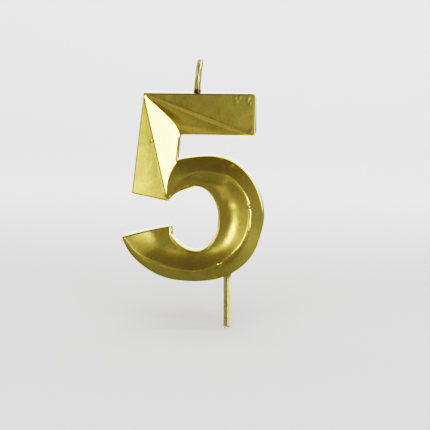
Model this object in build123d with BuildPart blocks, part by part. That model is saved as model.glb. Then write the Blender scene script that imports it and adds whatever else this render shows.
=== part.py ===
from build123d import *
import math
import os

# Number birthday candle: a gold-lacquered wax figure 5 with a folded-ribbon front
# and a flat back, a plaited wick in its top bar and a plastic pick below its bowl.
# Millimetres. The origin is on the pick's axis, where it enters the cake.
# +Z is up, the folded front faces -Y and the flat back faces +Y.

# --- driving dimensions -------------------------------------------------------
back_y = 2.5            # flat back of the body, behind the pick's axis
ridge_rise = 9.0        # ridge above the flat back
edge_rise = 4.5         # low outline edges above the flat back
coat = 0.25             # lacquer on the body, drawn thicker than the real film
slope = 1.15            # coat's depth down a sloping facet, per mm of its thickness
cove = 0.1              # hollow of the bowl's inner facet, as a share of its width

top_z = 83.0            # top of the bar at its left end
top_right_z = 82.6      # top of the bar at its free end
bar_left_x = -27.9      # top-left corner, where both straight ridges start
bar_right_x = 9.8       # right end of the bar
bar_low_z = 68.4        # underside of the bar, at the notch
bar_foot_z = 69.0       # underside of the bar, at its free end
corner_round = 1.0      # nipped top-right corner
notch_x = -16.4         # stem's side, just under the bar
notch_round = 1.6       # round inside corner of the notch
stem_left_x = -33.2     # stem's lower-left corner
stem_left_z = 47.6
stem_tip_x = -19.9      # stem's lower-right corner, where the bowl's ridge starts
stem_tip_z = 45.9
stem_side_x = -17.1     # where the bowl's outline leaves the stem's side
stem_side_z = 59.3
stem_side_rise = 5.8

wick_x = -10.2          # wick's foot on the top of the bar
wick_foot_z = 82.8
wick_y = -0.9
wick_d = 1.7            # primed wick
wick_coat = 0.15        # gold on the wick
wick_free = 11.1        # free height above the bar
wick_deep = 11.0        # length in the wax
wick_lean = 1.1         # how far the tip bends to the right
yarn_d = 0.5            # one yarn of the plait
plait_half_x = 0.5      # half the plait's swing from side to side
plait_half_y = 0.38     # half its swing from front to back
plait_pitch = 5.2
yarn_stub = 0.2         # yarn ends that stand out of the priming wax

pick_w = 2.2            # pick, across its ribs
rib_t = 0.8             # rib thickness
pick_top_z = 27.0       # pick's upper end, in the wax
pick_tip_z = -26.0      # pick's point, in the cake
pick_taper = 4.0        # length of the point
barb_w = 3.0            # across the barbs
barb_pitch = 2.6
pick_coat = 0.12        # gold on the pick
pick_coat_low_z = 0.3   # where the gold stops, just above the cake
collar_low_z = 16.4     # foot of the flare where the pick meets the body
collar_top_z = 20.6
collar_d = 4.0

# The bowl, station by station from the stem's tip round to the end of the lower arm:
# ridge x, ridge z, direction of the section (degrees from +X), reach to the inner
# edge, reach to the outer edge, rise of the inner edge, rise of the outer edge.
bowl = [
    (-19.9, 46.2, 115, 0.3, 4.8, 8.9, 8.3),
    (-17.9, 49.7, 127, 1.4, 6.4, 8.2, 7.2),
    (-15.3, 53.1, 120, 3.6, 6.7, 7.3, 5.4),
    (-11.0, 55.7, 97, 5.0, 5.2, 6.3, 4.8),
    (-5.5, 56.0, 78, 6.9, 5.3, 5.5, 4.5),
    (0.0, 54.9, 60, 9.6, 5.0, 4.9, 4.5),
    (4.9, 51.2, 37, 11.0, 4.4, 4.5, 4.5),
    (8.0, 45.5, 14, 11.7, 3.9, 4.5, 4.5),
    (8.3, 40.5, -3, 11.4, 4.5, 4.5, 4.5),
    (7.2, 34.8, -22, 11.0, 4.7, 4.5, 4.5),
    (3.8, 29.0, -41, 9.6, 5.6, 4.5, 4.5),
    (-1.0, 25.0, -63, 8.3, 5.8, 4.5, 4.5),
    (-7.5, 21.9, -83, 6.6, 4.9, 4.5, 4.5),
    (-14.5, 21.5, -97, 6.7, 4.8, 4.5, 4.5),
    (-22.0, 23.3, -110, 9.4, 5.0, 4.4, 5.0),
    (-29.5, 26.3, -142, 13.0, 2.9, 4.2, 6.5),
    (-33.6, 30.0, -159, 15.1, 1.5, 4.1, 7.8),
    (-35.9, 33.1, -169, 16.7, 0.3, 4.0, 8.8),
]


def at(x, z, rise):
    """A point of the body at a height above its flat back."""
    return Vector(x, back_y - rise, z)


def column(a, b, c, inset):
    """The body under one flat facet, down to the flat back."""
    foot = Face(Wire.make_polygon([at(p[0], p[1], inset) for p in (a, b, c)]))
    block = extrude(foot, amount=ridge_rise + 1, dir=(0, -1, 0))
    top = [at(p[0], p[1], p[2] - slope * inset) for p in (a, b, c)]
    normal = (top[1] - top[0]).cross(top[2] - top[0])
    if normal.Y > 0:
        normal = -normal
    return split(block, bisect_by=Plane(top[0], z_dir=normal), keep=Keep.BOTTOM)


def stem_and_bar(inset):
    """The upper part of the figure, shrunk all round by an inset."""
    solid = column(corner, rim[0], rim[1], inset)
    for start, end in zip(rim[1:], rim[2:]):
        solid = solid + column(corner, start, end, inset)
    if inset:
        walls = Face(Wire.make_polygon([at(p[0], p[1], 0) for p in [corner] + rim]))
        solid = solid & extrude(offset(walls, -inset), amount=20, dir=(0, -1, 0))
    right = solid.edges().filter_by(Axis.Y).sort_by(Axis.X)[-2:].sort_by(Axis.Z)
    return fillet(right[-1], corner_round - inset)


def bowl_slice(x, z, angle, inner, outer, inner_rise, outer_rise, inset):
    """One five-cornered slice of the bowl, with a hollow inner facet."""
    dx = math.cos(math.radians(angle))
    dz = math.sin(math.radians(angle))
    inner = max(inner - inset, 0.1)
    outer = max(outer - inset, 0.1)
    drop = slope * inset
    ridge = at(x, z, ridge_rise - drop)
    low_in = at(x - inner * dx, z - inner * dz, inset)
    high_in = at(x - inner * dx, z - inner * dz, inner_rise - drop)
    low_out = at(x + outer * dx, z + outer * dz, inset)
    high_out = at(x + outer * dx, z + outer * dz, outer_rise - drop)
    middle = (high_in + ridge) * 0.5 + Vector(0, cove * inner, 0)
    return Face(Wire([
        Edge.make_line(low_in, high_in),
        Edge.make_three_point_arc(high_in, middle, ridge),
        Edge.make_line(ridge, high_out),
        Edge.make_line(high_out, low_out),
        Edge.make_line(low_out, low_in),
    ]))


def bowl_ribbon(inset):
    """The bowl, from inside the stem round to the flat end of the lower arm."""
    slices = [bowl_slice(*row, inset) for row in bowl[:-1]]
    x, z, angle = bowl[-1][:3]
    x -= inset * math.sin(math.radians(angle))
    z += inset * math.cos(math.radians(angle))
    return loft(slices + [bowl_slice(x, z, *bowl[-1][2:], inset)])


# --- the figure's solid: stem and bar, then the bowl ---------------------------
corner = (bar_left_x, top_z, ridge_rise)
bar_right = (bar_right_x, top_right_z, edge_rise)
bar_foot = (bar_right_x, bar_foot_z, ridge_rise)
stem_foot = (stem_left_x, stem_left_z, edge_rise)
stem_tip = (stem_tip_x, stem_tip_z, ridge_rise)
stem_side = (stem_side_x, stem_side_z, stem_side_rise)
round_x = notch_x + notch_round
round_z = bar_low_z - notch_round
notch = [
    (round_x - notch_round * math.cos(math.radians(a)),
     round_z + notch_round * math.sin(math.radians(a)), edge_rise)
    for a in (0, 18, 36, 54, 72, 90)
]
rim = [stem_foot, stem_tip, stem_side] + notch + [bar_foot, bar_right]

figure = stem_and_bar(0) + bowl_ribbon(0)
wax_figure = stem_and_bar(coat) + bowl_ribbon(coat)

# --- the wick's run and its plait ----------------------------------------------
wick_low_z = wick_foot_z - wick_deep
wick_end_z = wick_foot_z + wick_free


def wick_axis(z):
    """Centre of the wick at a height: straight in the wax, leaning above it."""
    free = max(0.0, (z - wick_foot_z) / wick_free)
    return Vector(wick_x + wick_lean * free ** 1.5, wick_y, z)


def yarn_axis(turn):
    """Centre of one yarn: a flat figure of eight drawn out along the wick."""
    def centre(z):
        swing = 2 * math.pi * ((z - wick_low_z - 0.4) / plait_pitch + turn / 3)
        side = plait_half_x * math.sin(swing)
        depth = plait_half_y * math.sin(2 * swing)
        return wick_axis(z) + Vector(side, depth, 0)
    return centre


def tube(centre, low, high, steps, diameter):
    """A round cord along a centre line that climbs from one height to another."""
    slices = []
    for i in range(steps + 1):
        z = low + (high - low) * i / steps
        run = centre(z + 0.01) - centre(z - 0.01)
        slices.append(Face(Wire.make_circle(
            diameter / 2, Plane(centre(z), x_dir=Vector(0, 1, 0).cross(run), z_dir=run))))
    return loft(slices)


primed_wick = tube(wick_axis, wick_low_z, wick_end_z, 8, wick_d)
yarn_cords = [
    tube(yarn_axis(turn), wick_low_z + 0.4, wick_end_z + yarn_stub, 40, yarn_d)
    for turn in range(3)
]
sleeve = tube(wick_axis, wick_foot_z - 0.6, wick_end_z - 0.1, 8, wick_d + 2 * wick_coat)

# --- the pick's outline ---------------------------------------------------------
half = pick_w / 2
barb = barb_w / 2
rib_side = [
    (0, pick_tip_z), (half, pick_tip_z + pick_taper),
    (half, pick_top_z - 2.4 * barb_pitch),
    (barb, pick_top_z - 2.4 * barb_pitch + 0.3), (half, pick_top_z - 1.5 * barb_pitch),
    (half, pick_top_z - 1.4 * barb_pitch),
    (barb, pick_top_z - 1.4 * barb_pitch + 0.3), (half, pick_top_z - 0.5 * barb_pitch),
    (half * 0.6, pick_top_z), (0, pick_top_z),
]
rib_outline = rib_side + [(-x, z) for x, z in reversed(rib_side[1:-1])]

with BuildPart() as pick:
    with BuildSketch(Plane.XZ):
        Polygon(*rib_outline, align=None)
    extrude(amount=rib_t / 2, both=True)
    with BuildSketch(Plane.YZ):
        Polygon(*rib_outline, align=None)
    extrude(amount=rib_t / 2, both=True)
pick.part.label = "pick"

# --- the body: wax, and the gold coat round it ----------------------------------
with BuildPart() as wax_numeral:
    add(wax_figure)
    add(primed_wick, mode=Mode.SUBTRACT)
    add(pick.part, mode=Mode.SUBTRACT)
wax_numeral.part.label = "wax_numeral"

with BuildPart() as numeral_lacquer:
    add(figure)
    add(wax_figure, mode=Mode.SUBTRACT)
    add(primed_wick, mode=Mode.SUBTRACT)
    add(pick.part, mode=Mode.SUBTRACT)
numeral_lacquer.part.label = "numeral_lacquer"

# --- the wick --------------------------------------------------------------------
yarns = []
for turn in range(3):
    with BuildPart() as yarn:
        add(yarn_cords[turn])
    yarn.part.label = f"wick_strand_{turn + 1}"
    yarns.append(yarn)

with BuildPart() as wick_wax:
    add(primed_wick)
    add(yarn_cords, mode=Mode.SUBTRACT)
wick_wax.part.label = "wick_wax"

with BuildPart() as wick_lacquer:
    add(sleeve)
    with Locations((wick_x, wick_y, wick_foot_z - 0.5)):
        Cone(wick_d / 2 + 0.75, wick_d / 2 + 0.05, 2.0,
             align=(Align.CENTER, Align.CENTER, Align.MIN))
    add(figure, mode=Mode.SUBTRACT)
    add(primed_wick, mode=Mode.SUBTRACT)
wick_lacquer.part.label = "wick_lacquer"

# --- the gold on the pick ----------------------------------------------------------
with BuildPart() as pick_lacquer:
    with BuildSketch(Plane.XY.offset(pick_coat_low_z)):
        Rectangle(pick_w + 2 * pick_coat, rib_t + 2 * pick_coat)
        Rectangle(rib_t + 2 * pick_coat, pick_w + 2 * pick_coat)
    extrude(amount=collar_top_z - pick_coat_low_z)
    with Locations((0, 0, collar_low_z)):
        Cone(pick_w / 2, collar_d / 2, collar_top_z - collar_low_z,
             align=(Align.CENTER, Align.CENTER, Align.MIN))
    add(figure, mode=Mode.SUBTRACT)
    add(pick.part, mode=Mode.SUBTRACT)
pick_lacquer.part.label = "pick_lacquer"

os.makedirs("parts", exist_ok=True)
for piece in [wax_numeral, numeral_lacquer, *yarns, wick_wax, wick_lacquer, pick, pick_lacquer]:
    export_step(piece.part, f"parts/{piece.part.label}.step")
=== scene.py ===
import math

import bmesh
import bpy
import numpy as np
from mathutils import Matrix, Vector, noise
from mathutils.geometry import delaunay_2d_cdt


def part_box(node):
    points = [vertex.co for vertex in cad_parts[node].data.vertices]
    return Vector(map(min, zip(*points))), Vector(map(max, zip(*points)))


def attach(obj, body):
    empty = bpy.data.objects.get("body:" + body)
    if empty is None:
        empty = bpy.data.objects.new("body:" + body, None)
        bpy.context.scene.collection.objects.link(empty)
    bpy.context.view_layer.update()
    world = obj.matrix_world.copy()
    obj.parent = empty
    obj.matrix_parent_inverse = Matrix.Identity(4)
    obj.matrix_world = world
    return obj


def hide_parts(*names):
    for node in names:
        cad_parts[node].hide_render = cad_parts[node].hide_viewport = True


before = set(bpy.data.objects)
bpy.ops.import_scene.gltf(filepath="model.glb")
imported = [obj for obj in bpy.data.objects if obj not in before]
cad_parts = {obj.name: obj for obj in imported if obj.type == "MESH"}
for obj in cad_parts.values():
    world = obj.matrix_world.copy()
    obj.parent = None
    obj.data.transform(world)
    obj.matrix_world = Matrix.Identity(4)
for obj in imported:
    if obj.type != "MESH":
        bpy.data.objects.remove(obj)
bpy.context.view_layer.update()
SKIN_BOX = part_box("numeral_lacquer")
WICK_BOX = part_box("wick_lacquer")
PICK_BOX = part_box("pick_lacquer")
MM = 0.001              # metres in a millimetre

# The figure's relief in millimetres: x to the right, z up, heights above the flat back.
BACK_Y = SKIN_BOX[1][1] / MM
RIDGE = 9.0             # the ridges and the top-left corner
EDGE = 4.5              # the rim at the notch
APEX = np.array((-27.9, 83.0))
STEM_FOOT = (-33.2, 47.6, 4.15)
STEM_TIP = (-19.9, 45.9, 9.0)
STEM_SIDE = (-17.1, 59.3, 5.8)
BAR_FOOT = (9.8, 69.0, 9.0)
BAR_RIGHT = (9.8, 82.6, 4.5)
NOTCH_X, NOTCH_Z, NOTCH_R = -16.4, 68.4, 1.6
NOTCH_MIDDLE = (NOTCH_X + 0.47, NOTCH_Z - 0.47)
NIP_R = 1.0             # radius of the nipped top-right corner
FACET_HOLLOW = (0.2, 0.2, 0.1, 0.1)     # from the stem's left facet round to the bar's upper one
BOWL_HOLLOW = 0.1       # hollow of the bowl's inner facet, as a share of its width
OUTER_SWELL = 0.02      # swell of its outer facet, likewise
STEM_CREST, BAR_CREST, BOWL_CREST = 0.32, 0.25, 0.5     # softness of the ridges
STEM_BEND, BAR_BEND = 0.47, 0.48        # half the change of slope across each ridge
LIP = 0.42              # radius of the front edges
HOLE_LIP = 0.9          # radius of the bowl's inner edge
BACK_LIP = 0.35         # radius of the back edges
VALLEY_BOW = 0.05       # how far the valley between stem and bar bends towards the bar, in radians
VALLEY_SOFT = 0.18      # softness of the valley at its lower end
BAR_BOW = 0.025         # how far the bar's ridge sags, in radians
BAR_STEP = 0.22         # extra fall just above the bar's ridge
STEP_RUN = 0.5          # width over which that fall is spread
FILM = 0.25             # thickness of the gold over the wax
RIPPLES = ((0.16, 3.1, 0.035), (0.45, 9.7, 0.012))      # frequency, layer of the noise, depth
# The bowl's ridge, station by station: x, z, outward angle, widths of the inner and outer facet, heights of
# the inner and outer edge.
STATIONS = np.array((
    (-19.9, 46.2, 115, 0.3, 4.8, 8.9, 8.3),
    (-17.9, 49.7, 127, 1.4, 6.4, 8.2, 7.2),
    (-15.3, 53.1, 120, 3.6, 6.7, 7.3, 5.4),
    (-11.0, 55.7, 97, 5.0, 5.2, 6.3, 4.8),
    (-5.5, 56.0, 78, 6.9, 5.3, 5.5, 4.5),
    (0.0, 54.9, 60, 9.6, 5.0, 4.9, 4.5),
    (4.9, 51.2, 37, 11.0, 4.4, 4.5, 4.5),
    (8.0, 45.5, 14, 11.7, 4.0, 4.5, 4.5),
    (8.3, 40.5, -3, 11.4, 4.5, 4.5, 4.5),
    (7.2, 34.8, -22, 11.0, 4.7, 4.5, 4.5),
    (3.8, 29.0, -41, 9.6, 5.6, 4.5, 4.5),
    (-1.0, 25.0, -63, 8.3, 5.8, 4.5, 4.5),
    (-7.5, 21.9, -83, 6.6, 4.9, 4.5, 4.5),
    (-14.5, 21.5, -97, 6.7, 4.8, 4.5, 4.5),
    (-22.0, 23.3, -110, 9.4, 5.0, 4.4, 5.0),
    (-29.5, 26.3, -142, 13.0, 2.9, 4.2, 6.5),
    (-33.6, 30.0, -159, 15.1, 1.5, 4.1, 7.8),
    (-35.9, 33.1, -169, 16.7, 0.3, 4.0, 8.8),
))
# Small flaws of the cast and the coat: x, z, height and radius.
FLAWS = (
    (8.2, 44.6, 0.30, 0.55), (-2.0, 24.2, 0.28, 0.6), (-11.4, 21.4, 0.22, 0.5), (-7.6, 21.5, 0.22, 0.5),
    (7.4, 81.2, 0.16, 0.35), (7.2, 80.2, 0.14, 0.3), (7.9, 79.6, 0.12, 0.3), (8.7, 70.6, 0.14, 0.4),
    (2.9, 81.3, 0.10, 0.4), (4.4, 81.5, 0.10, 0.35), (3.4, 80.0, 0.08, 0.5), (-25.2, 66.5, 0.10, 0.5),
    (-24.5, 33.6, 0.03, 0.3), (-22.8, 34.3, 0.03, 0.3), (4.0, 63.0, 0.1, 0.4),
)


def spline(knots, values, at):
    """Natural cubic spline through rows of values."""
    n = len(knots)
    gap = np.diff(knots)
    left = np.eye(n)
    right = np.zeros(values.shape)
    slope = np.diff(values, axis=0) / gap[:, None]
    for i in range(1, n - 1):
        left[i, i - 1:i + 2] = gap[i - 1], 2 * (gap[i - 1] + gap[i]), gap[i]
        right[i] = 3 * (slope[i] - slope[i - 1])
    bend = np.linalg.solve(left, right)
    k = np.clip(np.searchsorted(knots, at, side="right") - 1, 0, n - 2)
    t = (at - knots[k])[:, None]
    g = gap[k][:, None]
    first = slope[k] - g * (2 * bend[k] + bend[k + 1]) / 3
    return values[k] + first * t + bend[k] * t ** 2 + (bend[k + 1] - bend[k]) / (3 * g) * t ** 3


def bowl_curves(count):
    """The bowl's inner edge, ridge and outer edge, each as x, z and height."""
    turn = np.radians(STATIONS[:, 2])
    way = np.stack((np.cos(turn), np.sin(turn)), 1)
    ridge = STATIONS[:, :2]
    crest = np.full((len(ridge), 1), RIDGE)
    rows = np.concatenate((
        ridge - way * STATIONS[:, 3:4], STATIONS[:, 5:6], ridge, crest,
        ridge + way * STATIONS[:, 4:5], STATIONS[:, 6:7]), 1)
    run = np.concatenate(((0,), np.cumsum(np.linalg.norm(np.diff(ridge, axis=0), axis=1))))
    got = spline(run, rows, np.linspace(0, run[-1], count))
    return got[:, 0:3], got[:, 3:6], got[:, 6:9]


def sampled(points, step):
    """A polyline resampled at about one step."""
    points = np.asarray(points, float)
    run = np.concatenate(((0,), np.cumsum(np.linalg.norm(np.diff(points[:, :2], axis=0), axis=1))))
    at = np.linspace(0, run[-1], max(2, int(round(run[-1] / step)) + 1))
    return np.stack([np.interp(at, run, points[:, i]) for i in range(points.shape[1])], 1)


def arc(cx, cz, radius, start, end, count):
    """Points along an arc, from one angle to another in degrees."""
    turn = np.radians(np.linspace(start, end, count))
    return np.stack((cx + radius * np.cos(turn), cz + radius * np.sin(turn)), 1)


def inside(points, loop):
    """Which points lie inside a closed loop."""
    hit = np.zeros(len(points), bool)
    for (x0, z0), (x1, z1) in zip(loop, np.roll(loop, -1, 0)):
        if z0 != z1:
            spans = (z0 > points[:, 1]) != (z1 > points[:, 1])
            hit ^= spans & (points[:, 0] < (x1 - x0) * (points[:, 1] - z0) / (z1 - z0) + x0)
    return hit


def distance(points, line, closed=False):
    """Distance from each point to a polyline."""
    a = line if closed else line[:-1]
    b = np.roll(line, -1, 0) if closed else line[1:]
    out = np.empty(len(points))
    ab = b - a
    span = np.maximum((ab ** 2).sum(1), 1e-12)
    for i in range(0, len(points), 2000):
        p = points[i:i + 2000, None]
        t = np.clip(((p - a) * ab).sum(2) / span, 0, 1)
        out[i:i + 2000] = np.sqrt((((a + t[..., None] * ab) - p) ** 2).sum(2).min(1))
    return out


# --- the stem and bar: facets ruled from the top-left corner to the rim -----------------
RIM_STEP = 0.02         # spacing of the rim's samples
notch = arc(NOTCH_X + NOTCH_R, NOTCH_Z - NOTCH_R, NOTCH_R, 180, 90, 24)
rim = sampled(np.concatenate((
    (STEM_FOOT, STEM_TIP, STEM_SIDE),
    np.concatenate((notch, np.full((len(notch), 1), EDGE)), 1),
    (BAR_FOOT, BAR_RIGHT))), RIM_STEP)
rim_way = rim[:, :2] - APEX
rim_turn = np.arctan2(rim_way[:, 1], rim_way[:, 0])
rim_reach = np.hypot(rim_way[:, 0], rim_way[:, 1])
fold_at = [math.atan2(p[1] - APEX[1], p[0] - APEX[0]) for p in (
    STEM_FOOT, STEM_TIP, NOTCH_MIDDLE, BAR_FOOT, BAR_RIGHT)]


def facet_fall(*corners):
    """Fall per millimetre, along x and z, of the plane through the top-left corner and two others."""
    return np.linalg.solve(
        [(x - APEX[0], z - APEX[1]) for x, z, _ in corners], [RIDGE - rise for _, _, rise in corners])


stem_fall = facet_fall(STEM_TIP, STEM_SIDE)
bar_fall = facet_fall(BAR_FOOT, (NOTCH_X + NOTCH_R, NOTCH_Z, EDGE))


def cove_height(way, reach, turn, share, bar_fold):
    """Height of the two facets above the notch, which meet in a bowed valley."""
    valley = fold_at[2] + VALLEY_BOW * (1 - share ** 6 + 4 * share * (1 - share))
    heading = np.stack((np.cos(valley), np.sin(valley)), 1)
    sink = heading @ (stem_fall - bar_fall)
    f = (turn - valley) / (bar_fold - valley)
    stem = RIDGE - way @ stem_fall
    bar = RIDGE - way @ bar_fall - reach * sink * np.minimum(1 - f, 1.6) ** 2
    return (stem + bar) / 2 + np.sqrt((stem - bar) ** 2 / 4 + (VALLEY_SOFT * share) ** 2)


def stem_height(p):
    """Height of the stem and bar over points of the plane."""
    way = p - APEX
    reach = np.hypot(way[:, 0], way[:, 1])
    turn = np.arctan2(way[:, 1], way[:, 0])
    share = np.minimum(reach / np.interp(turn, rim_turn, rim_reach), 1)
    bar_fold = fold_at[3] - BAR_BOW * 4 * share * (1 - share)
    height = RIDGE - reach * np.interp(turn, rim_turn, (RIDGE - rim[:, 2]) / rim_reach)
    cove = cove_height(way, reach, turn, share, bar_fold)
    height = np.where((turn > fold_at[1]) & (turn < bar_fold), cove, height)
    for hollow, start, end in zip(FACET_HOLLOW, fold_at, fold_at[1:]):
        f = np.clip((turn - start) / (end - start), 0, 1)
        height -= hollow * 4 * f * (1 - f) * share
    for fold, bend, soft in ((fold_at[1], STEM_BEND, STEM_CREST), (bar_fold, BAR_BEND, BAR_CREST)):
        off = reach * np.sin(turn - fold)
        height -= bend * (np.sqrt(off ** 2 + soft ** 2) - np.abs(off))
    above_bar_fold = np.maximum(off, 0)
    return height - BAR_STEP * (1 - np.exp(-above_bar_fold / STEP_RUN)) * np.minimum(share * 4, 1)


# --- the bowl: two facets between its inner edge, ridge and outer edge -------------------
inner_edge, bowl_ridge, outer_edge = bowl_curves(900)
hole_edge = inner_edge[60:-60, :2]      # without its ends at the stem and at the bowl's tip


def bowl_sheet(edge, hollow, count):
    """Samples of one facet: place, height, slope, distance from the ridge, and fall at the ridge."""
    f = np.linspace(0.0, 1.0, count)[:, None]
    width = np.linalg.norm((edge - bowl_ridge)[:, :2], axis=1)
    place = bowl_ridge[:, :2] + (edge - bowl_ridge)[:, :2] * f[..., None]
    height = RIDGE + (edge[:, 2] - RIDGE) * f - 4 * hollow * width * f * (1 - f)
    pf, pu = np.gradient(place, axis=0), np.gradient(place, axis=1)
    hf, hu = np.gradient(height, axis=0), np.gradient(height, axis=1)
    area = pf[..., 0] * pu[..., 1] - pf[..., 1] * pu[..., 0]
    area = np.where(np.abs(area) < 1e-9, 1e-9, area)
    slope = np.stack(((hf * pu[..., 1] - hu * pf[..., 1]), (hu * pf[..., 0] - hf * pu[..., 0])), -1)
    steep = (RIDGE - edge[:, 2]) / width + 4 * hollow
    return place, height, slope / area[..., None], f * width, steep


sheets = [bowl_sheet(inner_edge, BOWL_HOLLOW, 61), bowl_sheet(outer_edge, -OUTER_SWELL, 31)]
crest_bend = 0.5 * (sheets[0][4] + sheets[1][4])
NEAR_ROWS, NEAR_COLS = 6, 10            # spacing of the coarse samples that are searched first
MOST_OFF = 0.4                          # how far a facet is carried on past its nearest sample


def bowl_height(p):
    """Height of the bowl over points of the plane, and how far each lies off it."""
    best = np.full(len(p), 1e9)
    height = np.zeros(len(p))
    for place, level, slope, off, _ in sheets:
        rows, cols = level.shape
        coarse = place[::NEAR_ROWS, ::NEAR_COLS]
        flat = coarse.reshape(-1, 2)
        for i in range(0, len(p), 2000):
            q = p[i:i + 2000]
            near = ((q[:, None] - flat) ** 2).sum(2).argmin(1)
            row = near // coarse.shape[1] * NEAR_ROWS
            col = near % coarse.shape[1] * NEAR_COLS
            r = np.clip(row[:, None] + np.arange(-NEAR_ROWS, NEAR_ROWS + 1), 0, rows - 1)
            c = np.clip(col[:, None] + np.arange(-NEAR_COLS, NEAR_COLS + 1), 0, cols - 1)
            gap = ((place[r[:, :, None], c[:, None, :]] - q[:, None, None]) ** 2).sum(3)
            k = np.arange(len(q))
            i_row, i_col = np.divmod(gap.reshape(len(q), -1).argmin(1), gap.shape[2])
            r, c = r[k, i_row], c[k, i_col]
            away = gap[k, i_row, i_col]
            step = np.clip(q - place[r, c], -MOST_OFF, MOST_OFF)
            rise = level[r, c] + (slope[r, c] * step).sum(1)
            rise -= crest_bend[c] * (np.sqrt(off[r, c] ** 2 + BOWL_CREST ** 2) - off[r, c])
            better = away < best[i:i + 2000]
            height[i:i + 2000][better] = rise[better]
            best[i:i + 2000][better] = away[better]
    return height, np.sqrt(best)


# --- the outline ---------------------------------------------------------------------------
SIDE_LEAN = 0.09        # lean of the stem's right side between the bowl and the notch
SHOULDER_Z = 57         # the bowl's outer edge meets that side above this height
OUTLINE_STEP = 0.16     # spacing of the outline's points
BOWL_REACH = 0.3        # farther off the bowl's facets than this, the stem's height holds
side_line = outer_edge[::-1]
side_x = STEM_SIDE[0] + (side_line[:, 1] - STEM_SIDE[1]) * SIDE_LEAN
enter = np.nonzero((side_line[:, 0] < side_x) & (side_line[:, 1] > SHOULDER_Z))[0][0]
stem_loop = np.concatenate((
    (APEX, STEM_FOOT[:2], STEM_TIP[:2], STEM_SIDE[:2]), notch, (BAR_FOOT[:2],),
    arc(BAR_RIGHT[0] - NIP_R, BAR_RIGHT[1] - NIP_R, NIP_R, 0, 90, 8)))
outline = np.concatenate((
    (APEX, STEM_FOOT[:2]), inner_edge[:, :2], side_line[:enter, :2], stem_loop[4:], (APEX,)))
outline = sampled(outline, OUTLINE_STEP)[:-1]
for _ in range(3):
    outline = (np.roll(outline, 1, 0) + 2 * outline + np.roll(outline, -1, 0)) / 4


def figure_height(p):
    """Height of the whole figure over points of the plane, with its flaws and ripples."""
    stem = stem_height(p)
    bowl, off = bowl_height(p)
    shared = inside(p, stem_loop) & (stem > bowl)
    height = np.where(shared | (off > BOWL_REACH), stem, bowl)
    for x, z, rise, radius in FLAWS:
        height += rise * np.exp(-((p - (x, z)) ** 2).sum(1) / radius ** 2)
    ripple = [
        sum(noise.noise((x * pitch, z * pitch, layer)) * depth for pitch, layer, depth in RIPPLES)
        for x, z in p]
    return height + np.array(ripple)


def lip_drop(d, radius):
    """How far a rounded edge falls at a distance from the outline."""
    d = np.clip(d, 0, radius)
    return radius - np.sqrt(np.maximum(radius ** 2 - (radius - d) ** 2, 0))


def lip_radius(p):
    """Front edge radius: larger round the bowl's hole than elsewhere."""
    near = distance(p, hole_edge)
    return LIP + (HOLE_LIP - LIP) * np.clip(1.6 - near / HOLE_LIP, 0, 1)


def front_height(p):
    """Height of the gold's front over points of the plane, rounded edges included."""
    return figure_height(p) - lip_drop(distance(p, outline, True), lip_radius(p))


def off_curve(line, offsets, step):
    """Rows of points beside a curve."""
    line = sampled(line, step)
    run = np.gradient(line, axis=0)
    side = np.stack((-run[:, 1], run[:, 0]), 1) / np.linalg.norm(run, axis=1)[:, None]
    return np.concatenate([line + side * o for o in offsets])


def flat_mesh(loop, extra):
    """Triangles over a loop and the points inside it: vertices, faces, the loop's indices."""
    points = np.concatenate((loop, extra))
    n = len(loop)
    got = delaunay_2d_cdt(
        [Vector(p) for p in points.tolist()], [(i, (i + 1) % n) for i in range(n)], [], 1, 1e-6)
    where = {}
    for new, old in enumerate(got[3]):
        for o in old:
            where[o] = new
    return np.array([tuple(v) for v in got[0]]), [tuple(f) for f in got[2]], [where[i] for i in range(n)]


def grid(loop, step):
    """Staggered points inside a loop."""
    low, high = loop.min(0), loop.max(0)
    xs, zs = np.meshgrid(np.arange(low[0], high[0], step), np.arange(low[1], high[1], step))
    xs[1::2] += step / 2
    points = np.stack((xs.ravel(), zs.ravel()), 1)
    return points[inside(points, loop)]


def inset(loop, depth):
    """A loop moved inwards by a depth."""
    run = np.roll(loop, -1, 0) - np.roll(loop, 1, 0)
    moved = loop + np.stack((-run[:, 1], run[:, 0]), 1) / np.linalg.norm(run, axis=1)[:, None] * depth
    return moved[(distance(moved, loop, True) > 0.97 * depth) & inside(moved, loop)]


def rings(loop, depths):
    """Every second point of a loop moved inwards by several depths."""
    return np.concatenate([inset(loop, depth)[::2] for depth in depths])


WALL_SHARES = (0.2, 0.4, 0.6, 0.8, 1.0)     # rows of the wall, from the front edge to the back one


def body(loop, extra, rise, back_extra, back_rise):
    """A closed body over a loop: its front relief, its wall and its back."""
    flat, faces, loop_at = flat_mesh(loop, extra)
    front = np.stack((flat[:, 0], BACK_Y - rise(flat), flat[:, 1]), 1)
    back_flat, back_faces, back_loop = flat_mesh(loop, back_extra)
    back = np.stack((back_flat[:, 0], BACK_Y - back_rise(back_flat), back_flat[:, 1]), 1)
    verts = np.concatenate((front, back))
    start = len(front)
    polys = [tuple(reversed(f)) for f in faces] + [tuple(start + i for i in f) for f in back_faces]
    n = len(loop)
    above = loop_at
    for share in WALL_SHARES:
        below = [start + i for i in back_loop]
        if share < 1:
            row = front[loop_at] * (1 - share) + back[back_loop] * share
            below = list(range(len(verts), len(verts) + n))
            verts = np.concatenate((verts, row))
        polys += [(above[i], above[(i + 1) % n], below[(i + 1) % n], below[i]) for i in range(n)]
        above = below
    return verts * MM, polys


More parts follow.
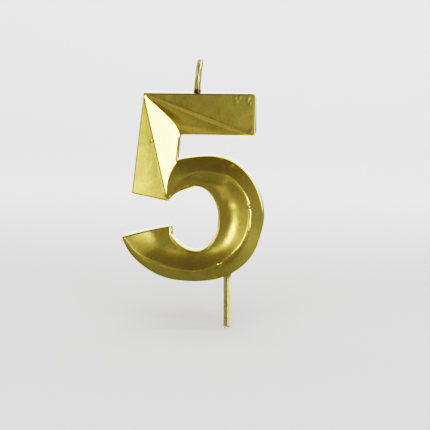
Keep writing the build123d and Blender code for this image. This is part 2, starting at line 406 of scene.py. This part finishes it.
# Spacing of the meshes, in millimetres: rows beside the folds and along the edges, and open fields.
FOLD_ROWS = (-0.75, -0.55, -0.38, -0.24, -0.12, 0.0, 0.12, 0.24, 0.38, 0.55, 0.75)
EDGE_ROWS = (0.03, 0.1, 0.2, 0.32, 0.46, 0.64, 0.86)
REAR_ROWS = (0.03, 0.08, 0.15, 0.23, 0.31, 0.4, 0.6, 0.9)
FOLD_STEP, FRONT_STEP, REAR_STEP, CORE_STEP, CORE_REAR_STEP = 0.3, 0.34, 1.2, 0.8, 2.5


def figure_mesh():
    """The gold surface of the figure, finer along its folds and edges."""
    folds = [np.array((APEX, STEM_TIP[:2])), np.array((APEX, BAR_FOOT[:2])), bowl_ridge[:, :2]]
    rows = np.concatenate([off_curve(f, FOLD_ROWS, FOLD_STEP) for f in folds])
    rows = rows[inside(rows, outline)]
    rows = rows[distance(rows, outline, True) > 1.0]
    field = grid(outline, FRONT_STEP)
    keep = distance(field, outline, True) > 1.05
    for fold in folds:
        keep &= distance(field, fold) > 0.95
    extra = np.concatenate((rings(outline, EDGE_ROWS), rows, field[keep]))
    rear = grid(outline, REAR_STEP)
    rear = np.concatenate((rings(outline, REAR_ROWS), rear[distance(rear, outline, True) > 1.5]))
    return body(
        outline, extra, front_height, rear, lambda p: lip_drop(distance(p, outline, True), BACK_LIP))


def core_mesh():
    """The wax inside the gold, a little smaller all round."""
    loop = inset(outline, FILM)[::4]
    return body(
        loop, grid(loop, CORE_STEP), lambda p: front_height(p) - FILM,
        grid(loop, CORE_REAR_STEP), lambda p: np.full(len(p), FILM))


def new_piece(name, verts, polys):
    """A smooth-shaded object in the scene."""
    mesh = bpy.data.meshes.new(name)
    mesh.from_pydata([tuple(v) for v in np.asarray(verts).tolist()], [], polys)
    mesh.validate()
    mesh.shade_smooth()
    piece = bpy.data.objects.new(name, mesh)
    bpy.context.scene.collection.objects.link(piece)
    return piece


def solid_piece(name, verts, polys, node, slot):
    """A closed piece that stands for a CAD node."""
    piece = new_piece(name, verts, polys)
    mesh = bmesh.new()
    mesh.from_mesh(piece.data)
    bmesh.ops.recalc_face_normals(mesh, faces=mesh.faces)
    mesh.to_mesh(piece.data)
    mesh.free()
    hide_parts(node)
    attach(piece, "root")
    return piece


figure = solid_piece("gold_figure", *figure_mesh(), "numeral_lacquer", "gold_lacquer")
core = solid_piece("wax_core", *core_mesh(), "wax_numeral", "wax")


# --- the gilded wick ------------------------------------------------------------------------
def skin(rows):
    """A closed surface through rows of points, each row a ring."""
    count = len(rows[0])
    polys = [tuple(reversed(range(count)))]
    for r in range(len(rows) - 1):
        for i in range(count):
            j = (i + 1) % count
            polys.append((r * count + i, r * count + j, (r + 1) * count + j, (r + 1) * count + i))
    polys.append(tuple((len(rows) - 1) * count + i for i in range(count)))
    return [p for row in rows for p in row], polys


WICK_X, WICK_Y, WICK_FOOT, WICK_FREE, WICK_LEAN = -10.2, -0.9, 82.8, 11.1, 1.1
WICK_R = 1.08           # outer radius of the coat
PLAIT = 5.2             # length of one turn of the plait
COLLAR, COLLAR_FOOT, COLLAR_RISE = 0.32, 82.9, 1.5      # swelling at the foot: depth, start, height
PAINTED_FOOT_SHADE = (83.8, 84.5)     # painted shade at the foot fades out between these heights
wick_low, wick_high = WICK_BOX[0][2] / MM, WICK_BOX[1][2] / MM


def wick_centre(z):
    """The wick's centre line, which bends to the right above the figure."""
    free = max(0.0, (z - WICK_FOOT) / WICK_FREE)
    return WICK_X + WICK_LEAN * free ** 1.5, WICK_Y


def wick_ring(z, shrink, count=64):
    """One ring of the wick's coat: plaited yarns under paint, swollen to a collar at the foot."""
    cx, cy = wick_centre(z)
    turn = math.tau * (z - WICK_FOOT) / PLAIT
    collar = COLLAR * min(max(0.0, 1 - (z - COLLAR_FOOT) / COLLAR_RISE), 1.0) ** 1.6
    row = []
    for i in range(count):
        a = math.tau * i / count
        yarns = 0.055 * math.cos(3 * a - turn) + 0.035 * math.cos(3 * a + turn * 1.05 + 1.0)
        fibres = 0.022 * math.cos(11 * a + 2.0 * math.sin(z * 0.7)) + 0.015 * math.cos(17 * a + z * 0.5)
        lumps = 0.03 * noise.noise((math.cos(a) * 1.2, math.sin(a) * 1.2, z * 0.9))
        swelling = collar * (0.85 + 0.25 * math.cos(a * 2 + 0.6))
        r = WICK_R + yarns + fibres + lumps + swelling - shrink
        row.append(((cx + r * math.cos(a)) * MM, (cy + r * math.sin(a)) * MM, z * MM))
    return row


wick_rows = [wick_ring(z, 0) for z in np.linspace(wick_low + 0.1, wick_high - 0.12, 110)]
wick_rows += [wick_ring(wick_high - 0.04, 0.06), wick_ring(wick_high, 0.15)]
wick = solid_piece("gilded_wick", *skin(wick_rows), "wick_lacquer", "gold_lacquer")

# --- the gilded pick --------------------------------------------------------------------------
PICK_W, RIB = 2.44, 1.04                # over the coat: width of the cross, thickness of its ribs
PICK_CORE, PICK_CORNER = 0.86, 1.42     # radius of the filled hollows, and of the rounded rib ends
FLARE_FOOT, FLARE_R = 15.9, 1.1         # where the coat starts to open into the wax
pick_low, pick_high = PICK_BOX[0][2] / MM, PICK_BOX[1][2] / MM


def pick_ring(z, grow, count=72):
    """One ring of the pick's coat: a soft-edged cross, opening into the wax at the top."""
    row = []
    flare = max(0.0, (z - FLARE_FOOT) / (pick_high - FLARE_FOOT)) ** 1.7
    for i in range(count):
        a = math.tau * i / count
        c, s = abs(math.cos(a)), abs(math.sin(a))
        arm = min(PICK_W / 2 / max(c, s), RIB / 2 / max(min(c, s), 1e-6))
        r = max((arm ** -10 + PICK_CORNER ** -10) ** -0.1, PICK_CORE)
        r = r * (1 - flare) + (FLARE_R + 0.85 * flare) * flare
        r += 0.03 * noise.noise((math.cos(a), math.sin(a), z * 0.35)) + grow
        row.append((r * math.cos(a) * MM, r * math.sin(a) * MM, z * MM))
    return row


pick_rows = [pick_ring(pick_low, -0.12), pick_ring(pick_low + 0.05, -0.04)]
pick_rows += [pick_ring(z, 0) for z in np.linspace(pick_low + 0.15, pick_high, 90)]
pick = solid_piece("gilded_pick", *skin(pick_rows), "pick_lacquer", "gold_lacquer")


# --- materials --------------------------------------------------------------------------------
class Paint:
    """A procedural material, built one node at a time, in millimetres of the object."""

    def __init__(self, name, **sockets):
        self.material = bpy.data.materials.new(name)
        self.material.use_nodes = True
        self.tree = self.material.node_tree
        self.tree.nodes.clear()
        self.shader = self.tree.nodes.new("ShaderNodeBsdfPrincipled")
        out = self.tree.nodes.new("ShaderNodeOutputMaterial")
        self.link(self.shader.outputs[0], out.inputs[0])
        for key, value in sockets.items():
            self.shader.inputs[key.replace("_", " ")].default_value = value
        self.place = self.tree.nodes.new("ShaderNodeTexCoord").outputs["Object"]

    def link(self, source, target):
        self.tree.links.new(source, target)

    def stretched(self, scale):
        node = self.tree.nodes.new("ShaderNodeMapping")
        node.inputs["Scale"].default_value = [s / MM for s in scale]
        self.link(self.place, node.inputs["Vector"])
        return node.outputs[0]

    def noise(self, scale, detail=2.0, rough=0.5, warp=0.0):
        node = self.tree.nodes.new("ShaderNodeTexNoise")
        node.inputs["Scale"].default_value = 1.0
        node.inputs["Detail"].default_value = detail
        node.inputs["Roughness"].default_value = rough
        node.inputs["Distortion"].default_value = warp
        self.link(self.stretched(scale), node.inputs["Vector"])
        return node.outputs["Fac"]

    def spots(self, scale):
        node = self.tree.nodes.new("ShaderNodeTexVoronoi")
        node.inputs["Scale"].default_value = 1.0
        self.link(self.stretched(scale), node.inputs["Vector"])
        return node.outputs["Distance"]

    def band(self, source, low, high, start=0.0, end=1.0):
        node = self.tree.nodes.new("ShaderNodeMapRange")
        node.interpolation_type = "SMOOTHSTEP"
        for key, value in zip(("From Min", "From Max", "To Min", "To Max"), (low, high, start, end)):
            node.inputs[key].default_value = value
        self.link(source, node.inputs["Value"])
        return node.outputs["Result"]

    def mix(self, share, first, second):
        node = self.tree.nodes.new("ShaderNodeMix")
        node.data_type = "RGBA"
        self.link(share, node.inputs[0])
        for socket, value in ((node.inputs[6], first), (node.inputs[7], second)):
            if isinstance(value, tuple):
                socket.default_value = (*value, 1)
            else:
                self.link(value, socket)
        return node.outputs[2]

    def axis(self, name):
        node = self.tree.nodes.new("ShaderNodeSeparateXYZ")
        self.link(self.place, node.inputs[0])
        return node.outputs[name]

    def bump(self, height, depth, below=None):
        node = self.tree.nodes.new("ShaderNodeBump")
        node.inputs["Strength"].default_value = 1.0
        node.inputs["Distance"].default_value = depth * MM
        self.link(height, node.inputs["Height"])
        if below is not None:
            self.link(below, node.inputs["Normal"])
        return node.outputs[0]

    def finish(self, colour, rough, normal):
        self.link(colour, self.shader.inputs["Base Color"])
        self.link(rough, self.shader.inputs["Roughness"])
        self.link(normal, self.shader.inputs["Normal"])
        return self.material


def gold(name, light, deep, low, high, grain, painted_shade_span=None):
    """Metallic gold paint: drifting tone, fine flake, flow marks, dust, and painted shade below a height.
    """
    paint = Paint(name, Metallic=1.0)
    drift = paint.noise((0.13, 0.13, 0.09), 3.0, 0.55, 0.6)
    colour = paint.mix(paint.band(drift, 0.35, 0.65), light, deep)
    flake = paint.noise((9.0, 9.0, 9.0), 3.0, 0.65)
    colour = paint.mix(paint.band(flake, 0.45, 0.75, 0.0, 0.25), colour, tuple(0.78 * c for c in deep))
    dust = paint.band(paint.spots((0.55, 0.55, 0.55)), 0.0, 0.09, 1.0, 0.0)
    mottle = paint.noise((1.5, 1.5, 1.2), 2.5, 0.6, 0.3)
    colour = paint.mix(paint.band(mottle, 0.35, 0.7, 0.0, 0.3), colour, tuple(0.7 * c for c in deep))
    if painted_shade_span:
        # painted shade: darkens the colour below the given heights, standing in for shade round the wick's
        # foot
        painted_shade_share = paint.band(paint.axis("Z"), painted_shade_span[0] * MM, painted_shade_span[1] * MM, 1.0, 0.0)
        colour = paint.mix(painted_shade_share, colour, (0.09, 0.07, 0.035))
    flow = paint.noise((0.5, 0.5, 0.16), 4.0, 0.6, 0.4)
    rough = paint.band(flow, 0.3, 0.7, low, high)
    normal = paint.bump(flow, 0.02 * grain)
    normal = paint.bump(mottle, 0.012 * grain, normal)
    normal = paint.bump(flake, 0.006 * grain, normal)
    normal = paint.bump(dust, 0.03, normal)
    return paint.finish(colour, rough, normal)


def cream_wax():
    """Cloudy cream paraffin."""
    paint = Paint("wax", Subsurface_Weight=0.3, Subsurface_Scale=0.002, Specular_IOR_Level=0.4)
    cloud = paint.noise((0.3, 0.3, 0.3), 3.0, 0.5, 0.3)
    grain = paint.noise((3.0, 3.0, 3.0), 3.0)
    return paint.finish(
        paint.mix(paint.band(cloud, 0.3, 0.7), (0.84, 0.75, 0.50), (0.78, 0.66, 0.40)),
        paint.band(grain, 0.3, 0.7, 0.38, 0.55), paint.bump(grain, 0.03))


def cotton():
    """Raw cotton yarn with fibres along its length."""
    paint = Paint("cotton", Sheen_Weight=0.2)
    fibre = paint.noise((9.0, 9.0, 1.2), 4.0, 0.6, 0.5)
    return paint.finish(
        paint.mix(paint.band(fibre, 0.3, 0.7), (0.80, 0.74, 0.60), (0.60, 0.52, 0.36)),
        paint.band(fibre, 0.3, 0.7, 0.75, 0.95), paint.bump(fibre, 0.06))


def pick_plastic():
    """Milky plastic with faint marks along the pick."""
    paint = Paint("pick_plastic", IOR=1.49, Subsurface_Weight=0.15, Subsurface_Scale=0.001)
    haze = paint.noise((0.6, 0.6, 0.15), 3.0, 0.5, 0.3)
    draw = paint.noise((4.0, 4.0, 0.3), 2.0)
    return paint.finish(
        paint.mix(paint.band(haze, 0.3, 0.7), (0.86, 0.85, 0.80), (0.79, 0.78, 0.70)),
        paint.band(draw, 0.3, 0.7, 0.25, 0.4), paint.bump(draw, 0.015))


def matt_floor():
    """Matt grey, paler towards the back."""
    paint = Paint("pale_floor", Specular_IOR_Level=0.1)
    tooth = paint.noise((0.4, 0.4, 0.4), 3.0)
    return paint.finish(
        paint.mix(paint.band(paint.axis("Y"), 0.04, 0.30), (0.50, 0.50, 0.50), (0.86, 0.86, 0.86)),
        paint.band(tooth, 0.3, 0.7, 0.8, 0.95), paint.bump(tooth, 0.01))


wax_paint, cotton_paint, plastic_paint = cream_wax(), cotton(), pick_plastic()
figure_gold = gold("gold_lacquer", (0.86, 0.655, 0.15), (0.80, 0.60, 0.125), 0.12, 0.19, 0.7)
wick_gold = gold("gold_on_cotton", (0.60, 0.51, 0.22), (0.42, 0.34, 0.12), 0.3, 0.45, 4.0, PAINTED_FOOT_SHADE)
pick_gold = gold("gold_on_pick", (0.74, 0.62, 0.24), (0.62, 0.50, 0.17), 0.24, 0.34, 1.5)
for piece, material in ((figure, figure_gold), (wick, wick_gold), (pick, pick_gold), (core, wax_paint)):
    piece.data.materials.append(material)
for node, material in (
        ("wick_wax", wax_paint), ("wick_strand_1", cotton_paint),
        ("wick_strand_2", cotton_paint), ("wick_strand_3", cotton_paint), ("pick", plastic_paint)):
    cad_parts[node].data.materials.clear()
    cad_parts[node].data.materials.append(material)

# --- floor, backdrop, light and camera ----------------------------------------------------------
# The floor runs back under the candle and curves up into a low wall. In metres.
FLOOR_FRONT, BEND_FOOT, BEND_R, WALL_TOP, HALF_WIDTH = -0.9, 0.42, 0.3, 0.6, 1.2
FLOOR_COLUMNS = 13
profile = [(y, 0.0) for y in (FLOOR_FRONT, -0.3, 0.1, BEND_FOOT)]
profile += [
    (BEND_FOOT + BEND_R * math.sin(a), BEND_R - BEND_R * math.cos(a))
    for a in np.linspace(0.08, math.pi / 2, 24)]
profile += [(BEND_FOOT + BEND_R, WALL_TOP)]
floor_x = np.linspace(-HALF_WIDTH, HALF_WIDTH, FLOOR_COLUMNS)
floor_verts = [(x, y, z) for y, z in profile for x in floor_x]
floor_polys = [
    (i, i + 1, i + FLOOR_COLUMNS + 1, i + FLOOR_COLUMNS)
    for i in range((len(profile) - 1) * FLOOR_COLUMNS) if (i + 1) % FLOOR_COLUMNS]
floor = new_piece("pale_floor", floor_verts, floor_polys)
floor.data.materials.append(matt_floor())
floor.visible_glossy = False

CAMERA_AT = Vector((0.03795, -0.40123, 0.121))
CAMERA_TARGET = Vector((-0.00418, -0.00044, 0.0403))
CAMERA_TURN = 6         # degrees of the camera's place, to the right of straight ahead
LIT_CENTRE = Vector((-0.004, 0.0, 0.045))
camera_data = bpy.data.cameras.new("camera")
camera_data.lens = 99.1
camera_data.clip_start = 0.01
camera = bpy.data.objects.new("camera", camera_data)
camera.location = CAMERA_AT
camera.rotation_euler = (CAMERA_TARGET - CAMERA_AT).to_track_quat("-Z", "Y").to_euler()
bpy.context.scene.collection.objects.link(camera)
bpy.context.scene.camera = camera


def towards(azimuth, elevation):
    """Direction from the candle: azimuth from the camera's side, positive to the right."""
    a, e = math.radians(azimuth + CAMERA_TURN), math.radians(elevation)
    return Vector((math.sin(a) * math.cos(e), -math.cos(a) * math.cos(e), math.sin(e)))


def panel(name, azimuth, elevation, reach, width, height, radiance):
    """A rectangular soft light that faces the candle and leaves no reflection."""
    data = bpy.data.lights.new(name, "AREA")
    data.shape = "RECTANGLE"
    data.size, data.size_y = width, height
    data.energy = radiance * 4 * width * height
    light = bpy.data.objects.new(name, data)
    way = towards(azimuth, elevation)
    light.location = LIT_CENTRE + way * reach
    light.rotation_euler = way.to_track_quat("Z", "Y").to_euler()
    light.visible_camera = False
    light.visible_glossy = False
    bpy.context.scene.collection.objects.link(light)


panel("side_soft", 40, 25, 0.80, 0.5, 0.4, 1.0)
panel("top_soft", 0, 75, 1.0, 1.2, 1.2, 3.8)

# --- the surroundings that the gold reflects: their colour depends only on direction -----------
world = bpy.data.worlds.new("studio")
bpy.context.scene.world = world
world.use_nodes = True
tree = world.node_tree
tree.nodes.clear()
sky = tree.nodes.new("ShaderNodeBackground")
sky_out = tree.nodes.new("ShaderNodeOutputWorld")
tree.links.new(sky.outputs[0], sky_out.inputs[0])
way = tree.nodes.new("ShaderNodeTexCoord")
split = tree.nodes.new("ShaderNodeSeparateXYZ")
tree.links.new(way.outputs["Generated"], split.inputs[0])


def feed(sockets, values):
    """Links or sets each socket."""
    for socket, value in zip(sockets, values):
        if isinstance(value, bpy.types.NodeSocket):
            tree.links.new(value, socket)
        else:
            socket.default_value = value


def levels(source, low, high, stops):
    """Colours against one component of the direction: each stop is where, how bright, and its tint."""
    span = tree.nodes.new("ShaderNodeMapRange")
    span.inputs["From Min"].default_value, span.inputs["From Max"].default_value = low, high
    tree.links.new(source, span.inputs["Value"])
    ramp = tree.nodes.new("ShaderNodeValToRGB")
    tree.links.new(span.outputs["Result"], ramp.inputs[0])
    for i, (at, level, *tint) in enumerate(stops):
        place = (at - low) / (high - low)
        stop = ramp.color_ramp.elements[i] if i < 2 else ramp.color_ramp.elements.new(place)
        stop.position = place
        stop.color = [level * t for t in (tint or (1, 1, 1))] + [1]
    return ramp.outputs[0]


def blended(share, first, second, kind="MIX"):
    """Mixes a share of the second colour into the first."""
    node = tree.nodes.new("ShaderNodeMix")
    node.data_type = "RGBA"
    node.blend_type = kind
    feed((node.inputs[0], node.inputs[6], node.inputs[7]), (share, first, second))
    return node.outputs[2]


def maths(kind, *values):
    node = tree.nodes.new("ShaderNodeMath")
    node.operation = kind
    feed(node.inputs, values)
    return node.outputs[0]


def along(direction):
    """How far the seen direction points along a given one."""
    dot = tree.nodes.new("ShaderNodeVectorMath")
    dot.operation = "DOT_PRODUCT"
    tree.links.new(way.outputs["Generated"], dot.inputs[0])
    dot.inputs[1].default_value = direction
    return dot.outputs["Value"]


def glow(colour, azimuth, width, soft, stops):
    """Adds a soft upright patch of light to the surroundings, brighter or dimmer with height."""
    aside = maths("ABSOLUTE", along(towards(azimuth + 90, 0)))
    w, s = math.sin(math.radians(width)), math.sin(math.radians(soft))
    across = levels(aside, 0, 1, ((max(0.0, w - s), 1.0), (w + s, 0.0)))
    share = maths("MULTIPLY", across, maths("GREATER_THAN", along(towards(azimuth, 0)), 0.0))
    up = levels(split.outputs["Z"], -1, 1, [(math.sin(math.radians(at)), level) for at, level in stops])
    return blended(share, colour, blended(1.0, colour, up, "LIGHTEN"))


FRESH = (0.96, 1.04, 1.05)      # the slightly cool tint of some stretches
height = split.outputs["Z"]
flat_reach = maths("SQRT", maths("SUBTRACT", 1.0001, maths("MULTIPLY", height, height)))
sideways = maths("DIVIDE", split.outputs["X"], flat_reach)
ahead = levels(height, -1, 1, (
    (-1.0, 0.20, *FRESH), (-0.97, 0.20, *FRESH), (-0.93, 0.17, *FRESH), (-0.85, 0.16), (-0.78, 0.20),
    (-0.42, 0.21), (0.0, 0.23), (0.3, 0.23, *FRESH), (0.5, 0.22, *FRESH), (0.62, 0.18), (0.8, 0.15),
    (0.9, 0.13), (1.0, 0.12)))
left = levels(height, -1, 1, (
    (-1.0, 0.20, *FRESH), (-0.9, 0.21, *FRESH), (-0.66, 0.21), (-0.54, 0.27), (-0.3, 0.32), (-0.16, 0.42),
    (0.0, 0.52), (0.26, 0.66), (0.38, 0.5), (0.46, 0.3), (0.58, 0.18), (0.77, 0.14), (1.0, 0.11)))
right = levels(height, -1, 1, (
    (-0.98, 0.20, *FRESH), (-0.9, 0.27, *FRESH), (-0.77, 0.33, *FRESH), (-0.53, 0.42, *FRESH),
    (-0.37, 0.31, *FRESH), (0.0, 0.28), (0.39, 0.22), (0.6, 0.18), (1.0, 0.12)))
behind = levels(height, -1, 1, (
    (-1.0, 0.2), (-0.5, 0.25), (-0.12, 0.3), (-0.02, 2.6), (0.5, 2.6), (0.8, 1.2), (0.95, 0.2)))
to_left = levels(sideways, -1, 1, ((-0.85, 1.0), (-0.6, 0.0)))
to_right = levels(sideways, -1, 1, ((0.9, 0.0), (0.975, 1.0)))
to_back = levels(split.outputs["Y"], -1, 1, ((0.15, 0.0), (0.45, 1.0)))
around = blended(to_right, blended(to_left, ahead, left), right)
around = blended(to_back, around, behind)
# Patches of light: azimuth, half width and softness in degrees, then levels by elevation.
GLOWS = (
    (-56.5, 4.5, 3, (
        (-60, 0.0), (-45, 0.2), (-38, 0.3), (-29, 0.45), (-14, 0.7), (-8, 1.1), (-4, 1.6), (14, 1.7),
        (25, 1.1), (31, 0.2), (36, 0.0))),
    (-56, 2.5, 2, ((-14, 0.0), (-8, 1.5), (-3, 8.0), (14, 8.0), (22, 1.2), (30, 0.0))),
    (-53.5, 5, 2.5, (
        (-27, 0.0), (-24, 0.5), (-20, 2.6), (-18, 2.2), (-16.5, 1.2), (-14.5, 0.7), (-11, 0.4),
        (-9, 0.0))),
    (-43, 12, 3, (
        (-59, 0.0), (-56, 0.16), (-53, 0.38), (-49, 0.46), (-43, 0.40), (-39, 0.34), (-34, 0.40),
        (-28, 0.3), (-20, 0.0))),
    (-76, 10, 4, ((-66, 0.0), (-62, 0.3), (-58, 0.4), (-55, 0.1), (-53, 0.0))),
    (36, 17, 1.5, ((-24, 0.0), (-16, 9.0), (8, 9.0), (11, 0.0))),
    (16, 4, 3, ((9, 0.0), (13, 2.5), (19, 1.8), (24, 0.8), (30, 0.5), (42, 0.25), (50, 0.0))),
    (13, 6, 3, ((23, 0.0), (27, 0.5), (32, 0.5), (37, 0.25), (44, 0.0))),
    (29, 9, 4, ((9, 0.0), (14, 1.0), (21, 1.0), (26, 0.5), (38, 0.33), (50, 0.1))),
)
for azimuth, half_width, soft, stops in GLOWS:
    around = glow(around, azimuth, half_width, soft, stops)
# Behind the candle the camera sees a plain pale backdrop.
BACKDROP = (1.3, 1.3, 1.3, 1)
seen = tree.nodes.new("ShaderNodeLightPath").outputs["Is Camera Ray"]
tree.links.new(blended(seen, around, BACKDROP), sky.inputs["Color"])

view = bpy.context.scene.view_settings
view.view_transform = "Filmic"
view.look = "High Contrast"
